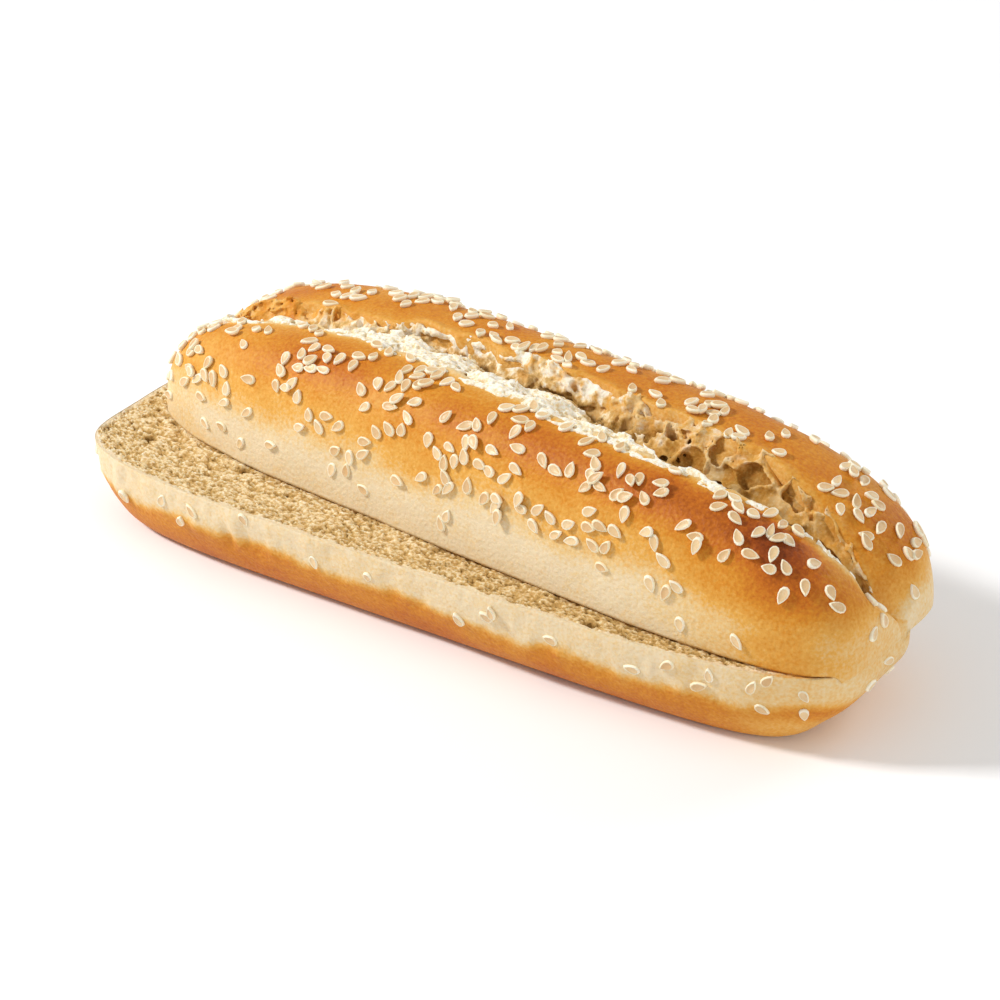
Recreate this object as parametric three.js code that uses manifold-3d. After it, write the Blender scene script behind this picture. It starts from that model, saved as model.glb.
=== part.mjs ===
// A sesame hot dog bun, sliced along its length and still joined at its near end.
//
// The bread is one solid: the heel below the knife's cut, the crown above it, and an uncut stretch of
// crust and crumb that joins the two at the +X end. The crown is swivelled about that end, so it bares a
// strip of the heel's cut face along the front and round the far end. A lengthwise burst opens its top.
// The sesame seeds on the crust are separate pieces.
//
// Millimetres, +X along the bun towards the joined end, +Y to the rear, +Z up. The origin is under the
// middle of the bun's bounding box, on the surface that the bun rests on.

import * as THREE from "three";
import { mergeVertices } from "three/addons/utils/BufferGeometryUtils.js";
import Module from "manifold-3d";

// ---- Driving dimensions ----

const LENGTH = 165; // the heel at the knife's cut
const WIDTH = 50.4;
const CUT_HEIGHT = 17; // the cut above the resting face
const BASE_LENGTH = 139; // the flat resting face
const BASE_WIDTH = 35;

const CROWN_LENGTH = 162.5;
const CROWN_WIDTH = 49.6;
const CROWN_HEIGHT = 25.8; // above the cut
const CROWN_FULLNESS = 2.53; // 2 is an elliptic section, more is boxier

const END_BLUNTNESS = 3.5; // outline exponents: 2 is an ellipse, more is blunter
const SIDE_STRAIGHTNESS = 5.1;

const SLIT = 0.6; // between heel and crown
const SWIVEL = THREE.MathUtils.degToRad(-6.2); // of the crown, clockwise seen from above
const SWIVEL_X = 81.5; // the corner that it turns about
const SWIVEL_Y = -23.7;

const JOIN_LENGTH = 17; // the uncut stretch, measured back from the near end
const JOIN_WIDTH = 37; // and from the front side
const JOIN_INSET = 1.5; // inside both outlines
const JOIN_DEPTH = 5; // into heel and crown

const BURST_WIDTH = 11.7;
const BURST_DEPTH = 9; // under the ridge of the crown, which it follows down at both ends
const BURST_LENGTH = 154;
const BURST_Y = -2.2; // of its middle line, across the crown

const SEED_LENGTH = 3.3;
const SEED_WIDTH = 2.1;
const SEED_THICKNESS = 0.9;
const SEED_TAPER = 0.35; // narrower by this share at its point, wider at its blunt end
const SEED_GAP = 0.3; // off the crust

const LOBE_SEEDS = 25; // on each lobe of the crown
const LOBE_SEEDED_SHARE = 0.86; // of the crown's length
const LOBE_UPPER_LEAN = 0.42; // radians from the upright, clear of the burst
const LOBE_LOWER_LEAN = 1.15;
const HEEL_SEEDS = 9;
const HEEL_SEED_ARC = 1.9; // radians of the heel's outline, about the middle of its front
const HEEL_SEED_LOW = 0.55; // share of the cut's height
const HEEL_SEED_HIGH = 0.8;

// Steps of the even sequences that place the seeds, as shares of their ranges, and spins in radians.
const PLACE_STEP = 0.7549;
const LEAN_STEP = 0.5698;
const HEIGHT_STEP = 0.618;
const LOBE_SPIN = 2.4;
const HEEL_SPIN = 1.7;

// ---- Fineness of the meshes ----

const OUTLINE_STEPS = 80;
const DOME_STEPS = 15;
const WALL_STEPS = 8;
const BURST_STEPS = 12;
const BURST_LENGTH_STEPS = 22;
const SEED_STEPS = 6;
const SEED_RINGS = 5;
const HALVINGS = 40; // of the reach, when a place on the crown's crust is sought
const HEIGHT_NUDGE = 0.1; // to a neighbouring place on the heel's wall, millimetres
const ANGLE_NUDGE = 0.01; // radians

// ---- Materials ----

const bread = new THREE.MeshStandardMaterial({ color: 0xd9a066, roughness: 0.55, metalness: 0 });
const sesame = new THREE.MeshStandardMaterial({ color: 0xf1e2bd, roughness: 0.5, metalness: 0 });

// ---- Solids ----

const manifold = await Module();
manifold.setup();

/** A closed three.js geometry as a solid that can be joined and cut. */
function solidFrom(geometry) {
  const shape = geometry.clone();
  shape.deleteAttribute("normal");
  shape.deleteAttribute("uv");
  const merged = mergeVertices(shape, 1e-4);
  return new manifold.Manifold(
    new manifold.Mesh({
      numProp: 3,
      vertProperties: merged.attributes.position.array,
      triVerts: new Uint32Array(merged.index.array),
    }),
  );
}

/** The three.js geometry of a solid. */
function geometryFrom(solid) {
  const mesh = solid.getMesh();
  const geometry = new THREE.BufferGeometry();
  geometry.setAttribute("position", new THREE.BufferAttribute(mesh.vertProperties, 3));
  geometry.setIndex(new THREE.BufferAttribute(mesh.triVerts, 1));
  geometry.computeVertexNormals();
  return geometry;
}

/** The point at an angle on the outline |x / halfLength|^END + |y / halfWidth|^SIDE = level. */
function outlinePoint(halfLength, halfWidth, level, angle) {
  const along = Math.cos(angle);
  const across = Math.sin(angle);
  return new THREE.Vector2(
    halfLength * Math.sign(along) * (level * along * along) ** (1 / END_BLUNTNESS),
    halfWidth * Math.sign(across) * (level * across * across) ** (1 / SIDE_STRAIGHTNESS),
  );
}

/**
 * A lathed shape whose round sections are turned into the bun's outline. The profile holds (level,
 * height) pairs from the axis to the axis, and halfSize(height) gives the outline's half length and width.
 */
function outlineSolid(profile, halfSize) {
  const geometry = new THREE.LatheGeometry(profile, OUTLINE_STEPS);
  geometry.rotateX(Math.PI / 2);
  const points = geometry.attributes.position;
  for (let i = 0; i < points.count; i++) {
    const level = Math.hypot(points.getX(i), points.getY(i));
    const angle = Math.atan2(points.getY(i), points.getX(i));
    const half = halfSize(points.getZ(i));
    const place = outlinePoint(half.x, half.y, level, angle);
    points.setXY(i, place.x, place.y);
  }
  return geometry;
}

// ---- The bread ----

/** The heel's half length and half width at a height: a quarter ellipse from the base to the cut. */
function heelHalfSize(height) {
  const below = 1 - Math.min(1, height / CUT_HEIGHT);
  const bulge = Math.sqrt(1 - below * below);
  return new THREE.Vector2(
    THREE.MathUtils.lerp(BASE_LENGTH, LENGTH, bulge) / 2,
    THREE.MathUtils.lerp(BASE_WIDTH, WIDTH, bulge) / 2,
  );
}

/** The heel: a flat base, walls that bulge outwards to the cut, and the flat cut face. */
function heelGeometry() {
  const profile = [new THREE.Vector2(0, 0)];
  for (let i = 0; i <= WALL_STEPS; i++) {
    const turn = (i / WALL_STEPS) * (Math.PI / 2);
    profile.push(new THREE.Vector2(1, CUT_HEIGHT * (1 - Math.cos(turn))));
  }
  profile.push(new THREE.Vector2(0, CUT_HEIGHT));
  return outlineSolid(profile, heelHalfSize);
}

/**
 * The crown before its burst, standing on the plane z = 0 of its own frame:
 * |x / A|^END + |y / B|^SIDE + (z / CROWN_HEIGHT)^CROWN_FULLNESS = 1.
 */
function crownGeometry() {
  const profile = [new THREE.Vector2(0, 0)];
  for (let i = 0; i < DOME_STEPS; i++) {
    const level = Math.cos((i / DOME_STEPS) * (Math.PI / 2)) ** 4;
    profile.push(new THREE.Vector2(level, CROWN_HEIGHT * (1 - level) ** (1 / CROWN_FULLNESS)));
  }
  profile.push(new THREE.Vector2(0, CROWN_HEIGHT));
  const half = new THREE.Vector2(CROWN_LENGTH / 2, CROWN_WIDTH / 2);
  return outlineSolid(profile, () => half);
}

/** The height of the crown's ridge at a place along it. */
function ridgeHeight(x) {
  const room = 1 - Math.abs(x / (CROWN_LENGTH / 2)) ** END_BLUNTNESS;
  return CROWN_HEIGHT * room ** (1 / CROWN_FULLNESS);
}

/** What the burst takes out of the crown: a blunt-ended sausage of elliptic section along its ridge. */
function burstGeometry() {
  const geometry = new THREE.SphereGeometry(1, BURST_STEPS, BURST_LENGTH_STEPS);
  geometry.rotateZ(Math.PI / 2);
  const points = geometry.attributes.position;
  for (let i = 0; i < points.count; i++) {
    const along = points.getX(i);
    const x = (BURST_LENGTH / 2) * Math.sign(along) * Math.abs(along) ** (2 / END_BLUNTNESS);
    const y = BURST_Y + (BURST_WIDTH / 2) * points.getY(i);
    points.setXYZ(i, x, y, ridgeHeight(x) + BURST_DEPTH * points.getZ(i));
  }
  return geometry;
}

/** A prism inside an outline, from JOIN_DEPTH below the slit's middle to JOIN_DEPTH above it. */
function joinPrism(length, width) {
  const profile = [
    new THREE.Vector2(0, -JOIN_DEPTH),
    new THREE.Vector2(1, -JOIN_DEPTH),
    new THREE.Vector2(1, JOIN_DEPTH),
    new THREE.Vector2(0, JOIN_DEPTH),
  ];
  const half = new THREE.Vector2(length / 2 - JOIN_INSET, width / 2 - JOIN_INSET);
  return outlineSolid(profile, () => half);
}

/** The block of the front corner at the near end that the knife left uncut. */
function joinCorner() {
  const geometry = new THREE.BoxGeometry(JOIN_LENGTH, JOIN_WIDTH, 4 * JOIN_DEPTH);
  geometry.translate((LENGTH - JOIN_LENGTH) / 2, (JOIN_WIDTH - WIDTH) / 2, 0);
  return geometry;
}

/** Places geometry of the crown's frame: near ends flush, a slit above the heel, swivelled. */
function crownPlacement() {
  return new THREE.Matrix4()
    .makeTranslation(SWIVEL_X, SWIVEL_Y, CUT_HEIGHT + SLIT)
    .multiply(new THREE.Matrix4().makeRotationZ(SWIVEL))
    .multiply(
      new THREE.Matrix4().makeTranslation((LENGTH - CROWN_LENGTH) / 2 - SWIVEL_X, -SWIVEL_Y, 0),
    );
}

/** The whole loaf: heel, burst crown and the uncut stretch between them, as one solid. */
function bunGeometry() {
  const placement = crownPlacement();
  const crown = solidFrom(crownGeometry()).subtract(solidFrom(burstGeometry()));
  const upper = solidFrom(geometryFrom(crown).applyMatrix4(placement));
  const lowerPrism = joinPrism(LENGTH, WIDTH).translate(0, 0, CUT_HEIGHT);
  const upperPrism = joinPrism(CROWN_LENGTH, CROWN_WIDTH).applyMatrix4(placement);
  const join = solidFrom(lowerPrism)
    .intersect(solidFrom(upperPrism))
    .intersect(solidFrom(joinCorner().translate(0, 0, CUT_HEIGHT)));
  return geometryFrom(solidFrom(heelGeometry()).add(upper).add(join));
}

// ---- The seeds ----

/** A teardrop seed lying on the plane z = 0, pointed towards +X. */
function seedGeometry() {
  const geometry = new THREE.SphereGeometry(1, SEED_STEPS, SEED_RINGS);
  geometry.rotateZ(-Math.PI / 2);
  const points = geometry.attributes.position;
  for (let i = 0; i < points.count; i++) {
    const taper = 1 - SEED_TAPER * points.getX(i);
    points.setY(i, points.getY(i) * taper);
  }
  geometry.scale(SEED_LENGTH / 2, SEED_WIDTH / 2, SEED_THICKNESS / 2);
  geometry.translate(0, 0, SEED_THICKNESS / 2);
  return geometry;
}

/** The whole fraction of index * step, which spreads a sequence evenly over 0 to 1. */
function spread(index, step) {
  return (0.5 + index * step) % 1;
}

/**
 * The point of the crown's crust at a place along it, on a ray that leans from the upright by an angle in
 * the section, and the crust's outward normal there.
 */
function crownCrust(x, lean) {
  const half = new THREE.Vector2(CROWN_LENGTH / 2, CROWN_WIDTH / 2);
  const room = 1 - Math.abs(x / half.x) ** END_BLUNTNESS;
  const outside = (reach) =>
    Math.abs(reach * Math.sin(lean)) ** SIDE_STRAIGHTNESS +
      (reach * Math.cos(lean)) ** CROWN_FULLNESS > room;
  let inner = 0;
  let outer = 2;
  for (let halving = 0; halving < HALVINGS; halving++) {
    const middle = (inner + outer) / 2;
    if (outside(middle)) outer = middle;
    else inner = middle;
  }
  const y = inner * Math.sin(lean) * half.y;
  const z = inner * Math.cos(lean) * CROWN_HEIGHT;
  const normal = new THREE.Vector3(
    (Math.sign(x) * END_BLUNTNESS * Math.abs(x / half.x) ** (END_BLUNTNESS - 1)) / half.x,
    (Math.sign(y) * SIDE_STRAIGHTNESS * Math.abs(y / half.y) ** (SIDE_STRAIGHTNESS - 1)) / half.y,
    (CROWN_FULLNESS * (z / CROWN_HEIGHT) ** (CROWN_FULLNESS - 1)) / CROWN_HEIGHT,
  );
  return { point: new THREE.Vector3(x, y, z), normal: normal.normalize() };
}

/** The point of the heel's wall at a height and an outline angle, and the wall's outward normal. */
function heelCrust(height, angle) {
  const at = (h, a) => {
    const half = heelHalfSize(h);
    const place = outlinePoint(half.x, half.y, 1, a);
    return new THREE.Vector3(place.x, place.y, h);
  };
  const point = at(height, angle);
  const upward = at(height + HEIGHT_NUDGE, angle).sub(point);
  const onward = at(height, angle + ANGLE_NUDGE).sub(point);
  return { point, normal: onward.cross(upward).normalize() };
}

/** A named seed lying on the crust at a point, turned by a spin about the crust's normal. */
function seedOn(crust, spin, name) {
  const seed = new THREE.Mesh(seedGeometry(), sesame);
  seed.name = name;
  const upright = new THREE.Vector3(0, 0, 1);
  const turn = new THREE.Quaternion().setFromAxisAngle(upright, spin);
  seed.quaternion.setFromUnitVectors(upright, crust.normal).multiply(turn);
  seed.position.copy(crust.point).addScaledVector(crust.normal, SEED_GAP);
  return seed;
}

/** A seed's node name from its number. */
function seedName(number) {
  return "sesame_seed_" + String(number).padStart(2, "0");
}

/** Seeds spread over one lobe of the crown, clear of the burst: side is -1 in front and 1 behind. */
function lobeSeeds(side, firstNumber) {
  const group = new THREE.Group();
  for (let i = 0; i < LOBE_SEEDS; i++) {
    const x = (spread(i, PLACE_STEP) - 0.5) * LOBE_SEEDED_SHARE * CROWN_LENGTH;
    const lean = THREE.MathUtils.lerp(LOBE_UPPER_LEAN, LOBE_LOWER_LEAN, spread(i, LEAN_STEP));
    group.add(seedOn(crownCrust(x, side * lean), i * LOBE_SPIN, seedName(firstNumber + i)));
  }
  return group;
}

/** A few seeds along the front wall of the heel, under the bared cut face. */
function heelSeeds(firstNumber) {
  const group = new THREE.Group();
  for (let i = 0; i < HEEL_SEEDS; i++) {
    const angle = -Math.PI / 2 + ((i + 0.5) / HEEL_SEEDS - 0.5) * HEEL_SEED_ARC;
    const share = THREE.MathUtils.lerp(HEEL_SEED_LOW, HEEL_SEED_HIGH, spread(i, HEIGHT_STEP));
    group.add(seedOn(heelCrust(CUT_HEIGHT * share, angle), i * HEEL_SPIN, seedName(firstNumber + i)));
  }
  return group;
}

// ---- The assembly ----

const bun = new THREE.Mesh(bunGeometry(), bread);
bun.name = "bun";

const onCrown = new THREE.Group();
onCrown.add(lobeSeeds(-1, 1), lobeSeeds(1, LOBE_SEEDS + 1));
onCrown.applyMatrix4(crownPlacement());

const group = new THREE.Group();
group.add(bun, onCrown, heelSeeds(2 * LOBE_SEEDS + 1));

const measuredExactly = true;
const box = new THREE.Box3().setFromObject(group, measuredExactly);
const middle = box.getCenter(new THREE.Vector3());
group.position.set(-middle.x, -middle.y, -box.min.z);

export default group;
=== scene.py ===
"""A sesame hot dog bun, sliced from its far end nearly to its near end, with a top that burst in baking.

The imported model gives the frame: +X runs along the bun to the joined end, +Y to the rear, +Z up, with the
origin on the table under the middle of the bun. Shapes are worked out here in millimetres and are written
to the meshes in metres.

The bread is made of a heel below the cut, a crown above it and the torn crumb in the crown's burst. The
seeds are one piece. Heel, crown and seed are grids of points given by formulas, which their functions
state. The torn crumb has overhangs, so it is the skin of a block of samples instead. Every call of noise
and cells gives a size in millimetres and the number that picks its random values.
"""

import bpy
import numpy as np
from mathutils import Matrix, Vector


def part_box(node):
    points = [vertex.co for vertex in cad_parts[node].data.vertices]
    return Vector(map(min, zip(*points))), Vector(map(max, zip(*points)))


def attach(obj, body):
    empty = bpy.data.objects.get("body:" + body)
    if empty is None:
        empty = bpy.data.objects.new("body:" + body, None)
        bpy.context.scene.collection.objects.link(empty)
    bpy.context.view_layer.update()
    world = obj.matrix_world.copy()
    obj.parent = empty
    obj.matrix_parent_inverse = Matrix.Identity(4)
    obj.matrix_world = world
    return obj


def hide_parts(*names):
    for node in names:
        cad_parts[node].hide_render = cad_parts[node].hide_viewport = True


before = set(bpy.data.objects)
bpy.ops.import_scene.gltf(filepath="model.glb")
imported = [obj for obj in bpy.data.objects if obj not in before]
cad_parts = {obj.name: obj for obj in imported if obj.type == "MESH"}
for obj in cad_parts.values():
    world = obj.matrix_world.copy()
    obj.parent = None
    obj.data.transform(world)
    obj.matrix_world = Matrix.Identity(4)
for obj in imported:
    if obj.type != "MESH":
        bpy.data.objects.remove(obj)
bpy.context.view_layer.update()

MM = 0.001

# ---- Driving sizes, millimetres ----

HEEL_LENGTH = 165.0
HEEL_WIDTH = 50.4
CUT_HEIGHT = 17.0
BASE_LENGTH = 139.0
BASE_WIDTH = 35.0
CROWN_LENGTH = 162.5
CROWN_WIDTH = 49.6
CROWN_FULLNESS = 2.53
END_BLUNTNESS = 3.5
SIDE_STRAIGHTNESS = 5.1
SWIVEL = np.radians(-6.2)
SWIVEL_CORNER = np.array([81.5, -23.7])
CROWN_LIFT = 0.25  # of the crown's cut face over the heel's

bun_low, bun_high = (np.array(corner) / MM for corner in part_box("bun"))
HEEL_CENTRE = bun_low[:2] + [HEEL_LENGTH / 2, HEEL_WIDTH / 2]
CROWN_FLOOR = CUT_HEIGHT + CROWN_LIFT
CROWN_HEIGHT = bun_high[2] - CROWN_FLOOR

# Lines on the crown, as (place along it, place across it).
FRONT_LIP = [(-81, -2.5), (-74, -5.5), (-43, -6.8), (-13, -7.1), (20, -9.9), (57, -9.3), (72, -6.6),
             (79, -2.6), (81, 1.6)]
REAR_LIP = [(-81, 0), (-74, 1.2), (-50, 2.6), (-14, 4.2), (15, 4.7), (44, 3.6), (60, 2.4), (72, 0.4),
            (79, -0.2), (81, 3.2)]

# Lines along the crown, as (place along it, value): how deep the burst's crevice lies below the crust, and
# how far across from the front lip to the rear lip it runs, as a share.
CREVICE_DEPTH = [(-81, 0.6), (-72, 2.2), (-60, 4.2), (-50, 4.6), (-40, 3.4), (-13, 4.4), (8, 5.4),
                 (20, 4.8), (32, 6.4), (50, 7.4), (66, 6.4), (74, 3.6), (79, 1.0), (81, 0.5)]
CREVICE_SHARE = [(-81, 0.5), (-61, 0.42), (-48, 0.5), (-40, 0.74), (-13, 0.8), (8, 0.78), (20, 0.6),
                 (30, 0.4), (60, 0.34), (74, 0.4), (81, 0.5)]


# ---- Number helpers ----

def smoothstep(low, high, value):
    """0 below low, 1 above high, and 3t^2 - 2t^3 between them; low may be above high."""
    t = np.clip((value - low) / (high - low), 0.0, 1.0)
    return t * t * (3.0 - 2.0 * t)


def mix(a, b, share):
    """a where share is 0, b where it is 1, and in proportion between."""
    return a + (b - a) * share


def bump(value, middle, width):
    """A bell curve: exp(-((value - middle) / width)^2)."""
    return np.exp(-(((value - middle) / width) ** 2))


def smooth_line(points, place):
    """A curve through chosen points: cubic Hermite pieces whose slope at a point joins its neighbours."""
    x, y = np.array(points, float).T
    slope = np.gradient(y, x)
    place = np.clip(place, x[0], x[-1])
    i = np.clip(np.searchsorted(x, place) - 1, 0, len(x) - 2)
    width = x[i + 1] - x[i]
    t = (place - x[i]) / width
    rise = y[i] * (1 + 2 * t) * (1 - t) ** 2 + y[i + 1] * t * t * (3 - 2 * t)
    return rise + width * t * (1 - t) * (slope[i] * (1 - t) - slope[i + 1] * t)


def lattice_random(cell, seed):
    """A repeatable random number from 0 to 1 for each whole-number cell: its indices times large primes."""
    x, y, z = (cell[..., k].astype(np.int64) for k in range(3))
    stirred = (x * 374761393 + y * 668265263 + z * 1440662683 + seed * 974634777) & 0xFFFFFFFF
    stirred = ((stirred ^ (stirred >> 13)) * 1274126177) & 0xFFFFFFFF
    return ((stirred ^ (stirred >> 16)) & 0xFFFFFFFF) / 0xFFFFFFFF


def noise(points, size, seed):
    """Smooth noise from -1 to 1: random values on a lattice of that size, blended by smoothstep."""
    place = points / size
    cell = np.floor(place)
    t = smoothstep(0.0, 1.0, place - cell)
    total = 0.0
    for corner in np.ndindex(2, 2, 2):
        share = np.prod(np.where(corner, t, 1.0 - t), axis=-1)
        total = total + share * lattice_random(cell + corner, seed)
    return 2.0 * total - 1.0


def cells(points, size, seed):
    """Random dots, one in each cell of a lattice: the distances from each point to its nearest and next
    nearest dot, in cells, and a random number from 0 to 1 that belongs to the nearest."""
    place = points / size
    home = np.floor(place)
    nearest = np.full(place.shape[:-1], 9.0)
    second = nearest.copy()
    owner = nearest.copy()
    for step in np.ndindex(3, 3, 3):
        cell = home + step - 1
        dot = cell + np.stack([lattice_random(cell, seed + k) for k in range(3)], axis=-1)
        distance = np.sqrt(((place - dot) ** 2).sum(axis=-1))
        closer = distance < nearest
        second = np.where(closer, nearest, np.minimum(second, distance))
        owner = np.where(closer, lattice_random(cell, seed + 3), owner)
        nearest = np.minimum(nearest, distance)
    return nearest, second, owner


# ---- Mesh helpers ----

def make_object(name, points, faces, material):
    """A smooth-shaded object from points in millimetres and arrays of its faces' corner numbers, one array
    for the quads and one for the triangles."""
    mesh = bpy.data.meshes.new(name)
    mesh.from_pydata(points * MM, [], [face for kind in faces for face in kind.tolist()])
    mesh.polygons.foreach_set("use_smooth", np.ones(len(mesh.polygons), bool))
    mesh.materials.append(material)
    mesh.update()
    piece = bpy.data.objects.new(name, mesh)
    bpy.context.scene.collection.objects.link(piece)
    return piece


def give(piece, name, values):
    """Stores one number per point on a piece, for its material to read."""
    attribute = piece.data.attributes.new(name, "FLOAT", "POINT")
    attribute.data.foreach_set("value", np.asarray(values, np.float32).ravel())


def tube_faces(rings, around):
    """Faces of a closed skin over rings of points: quads from ring to ring, and a fan of triangles to each
    end's pole. The points are numbered ring by ring, and the first and last pole follow them."""
    ring, spot = np.meshgrid(np.arange(rings - 1), np.arange(around), indexing="ij")
    here = ring * around + spot
    beside = ring * around + (spot + 1) % around
    quads = np.stack([here, here + around, beside + around, beside], axis=-1).reshape(-1, 4)
    spot = np.arange(around)
    beside = (spot + 1) % around
    first, last = rings * around, rings * around + 1
    end = (rings - 1) * around
    fans = np.concatenate([
        np.stack([np.full(around, first), spot, beside], axis=-1),
        np.stack([np.full(around, last), end + beside, end + spot], axis=-1),
    ])
    return quads, fans


def with_poles(rings):
    """All the points of a skin's rings, then the pole of each end, which is the middle of its ring."""
    return np.concatenate([rings.reshape(-1, 3), rings[[0, -1]].mean(axis=1)])


def stations(half_length, half_width, count):
    """Places along the bun, evenly spaced along its outline seen from above, without the two poles."""
    turn = np.linspace(0.0, np.pi / 2, 4000)
    x = half_length * np.cos(turn) ** (2 / END_BLUNTNESS)
    y = half_width * np.sin(turn) ** (2 / SIDE_STRAIGHTNESS)
    walked = np.concatenate([[0.0], np.cumsum(np.hypot(np.diff(x), np.diff(y)))])
    half = np.interp(np.linspace(0.0, walked[-1], count // 2), walked, x)[1:]
    return np.concatenate([-half, half[-2::-1]])


def reach(inside):
    """The largest factor up to 2, for each ray, at which inside(factor) still holds, by halving."""
    low, high = 0.0, 2.0
    for _ in range(32):
        middle = (low + high) / 2
        held = inside(middle)
        low, high = np.where(held, middle, low), np.where(held, high, middle)
    return low


# ---- The bread's frames ----

def crown_to_table(points):
    """From the crown's own frame to the table's: near ends flush, turned about the swivel corner, moved."""
    flush = (HEEL_LENGTH - CROWN_LENGTH) / 2
    x = points[..., 0] + flush - SWIVEL_CORNER[0]
    y = points[..., 1] - SWIVEL_CORNER[1]
    cosine, sine = np.cos(SWIVEL), np.sin(SWIVEL)
    return np.stack([
        cosine * x - sine * y + SWIVEL_CORNER[0] + HEEL_CENTRE[0],
        sine * x + cosine * y + SWIVEL_CORNER[1] + HEEL_CENTRE[1],
        points[..., 2] + CROWN_FLOOR,
    ], axis=-1)


def table_to_crown(points):
    """The opposite of crown_to_table."""
    flush = (HEEL_LENGTH - CROWN_LENGTH) / 2
    x = points[..., 0] - HEEL_CENTRE[0] - SWIVEL_CORNER[0]
    y = points[..., 1] - HEEL_CENTRE[1] - SWIVEL_CORNER[1]
    cosine, sine = np.cos(SWIVEL), np.sin(SWIVEL)
    return np.stack([
        cosine * x + sine * y + SWIVEL_CORNER[0] - flush,
        -sine * x + cosine * y + SWIVEL_CORNER[1],
        points[..., 2] - CROWN_FLOOR,
    ], axis=-1)


def join_share(x, y):
    """How fully crown and heel are still one, at a place in the crown's frame: 1 round the near end's front
    part, fading to 0 where the knife's cut and the crease between the lobes begin."""
    return smoothstep(67.5, 74.5, x) * smoothstep(-17, -11.5, y) * smoothstep(3.5, 1.5, y)


def meet_share(x, y):
    """How far the heel's wall comes out to meet the crown, wider than join_share so that it is there before
    the crown's foot comes down over it."""
    return smoothstep(61.5, 68.5, x) * smoothstep(-24.5, -18, y) * smoothstep(8, 3.8, y)


# ---- The crown ----

CROWN_STATIONS = 430
FRONT_COLUMNS = 64
BURST_COLUMNS = 20
REAR_COLUMNS = 64
UNDER_COLUMNS = 16
BED_DEPTH = 9.5  # of the burst's bed below the dome
LIP_LIFT = 0.4  # of the crust at the burst's lips
SKIRT_DROP = 6.0  # of the crown's foot down over the heel, where the bread is uncut
SKIRT_TUCK = 2.2  # of the skirt's lower edge, back into the heel

# Spots of the front lobe that are browner or paler than their surroundings, as (how much browner, place
# along, half length, place across, half width).
BROWN_SPOTS = [(0.32, 66, 9, -15, 4.5), (0.18, 24, 17, -17, 4), (0.16, -2, 9, -18, 4),
               (0.18, 46, 13, -17, 4.5), (0.2, -36, 12, -16, 4.5), (-0.08, -62, 12, -12, 6)]


def crown_height_at(x, y):
    """The crown's smooth dome: |x/A|^END + |y/B|^SIDE + (z/H)^FULLNESS = 1, solved for z."""
    level = np.abs(x * 2 / CROWN_LENGTH) ** END_BLUNTNESS + np.abs(y * 2 / CROWN_WIDTH) ** SIDE_STRAIGHTNESS
    return CROWN_HEIGHT * np.clip(1.0 - level, 0.0, 1.0) ** (1 / CROWN_FULLNESS)


def lips(x):
    """The burst's front and rear lips across the crown, ragged by two sizes of noise, kept in its width."""
    along = np.stack([x, 0 * x, 0 * x], axis=-1)
    ragged = 0.8 * noise(along, 5.5, 11) + 0.5 * noise(along, 1.9, 12)
    ragged_rear = 1.0 * noise(along, 7.0, 13) + 0.5 * noise(along, 2.2, 14)
    calm = smoothstep(81, 74, np.abs(x))
    room = 1.0 - np.abs(x * 2 / CROWN_LENGTH) ** END_BLUNTNESS
    widest = 0.72 * CROWN_WIDTH / 2 * room ** (1 / SIDE_STRAIGHTNESS)
    front = np.clip(smooth_line(FRONT_LIP, x) + ragged * calm, -widest, widest)
    rear = np.clip(smooth_line(REAR_LIP, x) + ragged_rear * calm, -widest, widest)
    return front, np.maximum(rear, front + 0.2)


def valley_at(x, y, front, rear):
    """How far the crust sinks between the two lobes: depth * exp(-(distance / width)^sharpness) round the
    burst's middle, wider behind it, and deeper and sharper towards the near end, where it is a crease."""
    nearness = smoothstep(48, 76, x)
    middle = (front + rear) / 2
    depth = mix(1.3, 7.0, nearness ** 2) * smoothstep(82, 79, np.abs(x))
    width = np.where(y > middle, mix(6.0, 7.5, nearness), mix(6.0, 2.6, nearness))
    return depth * np.exp(-((np.abs(y - middle) / width) ** mix(2.0, 1.15, nearness)))


def lean_at(x, y):
    """The angle from the upright, seen along the bun, of the dome's point at (x, y)."""
    return np.arctan2(y * 2 / CROWN_WIDTH, crown_height_at(x, y) / CROWN_HEIGHT)


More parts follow.
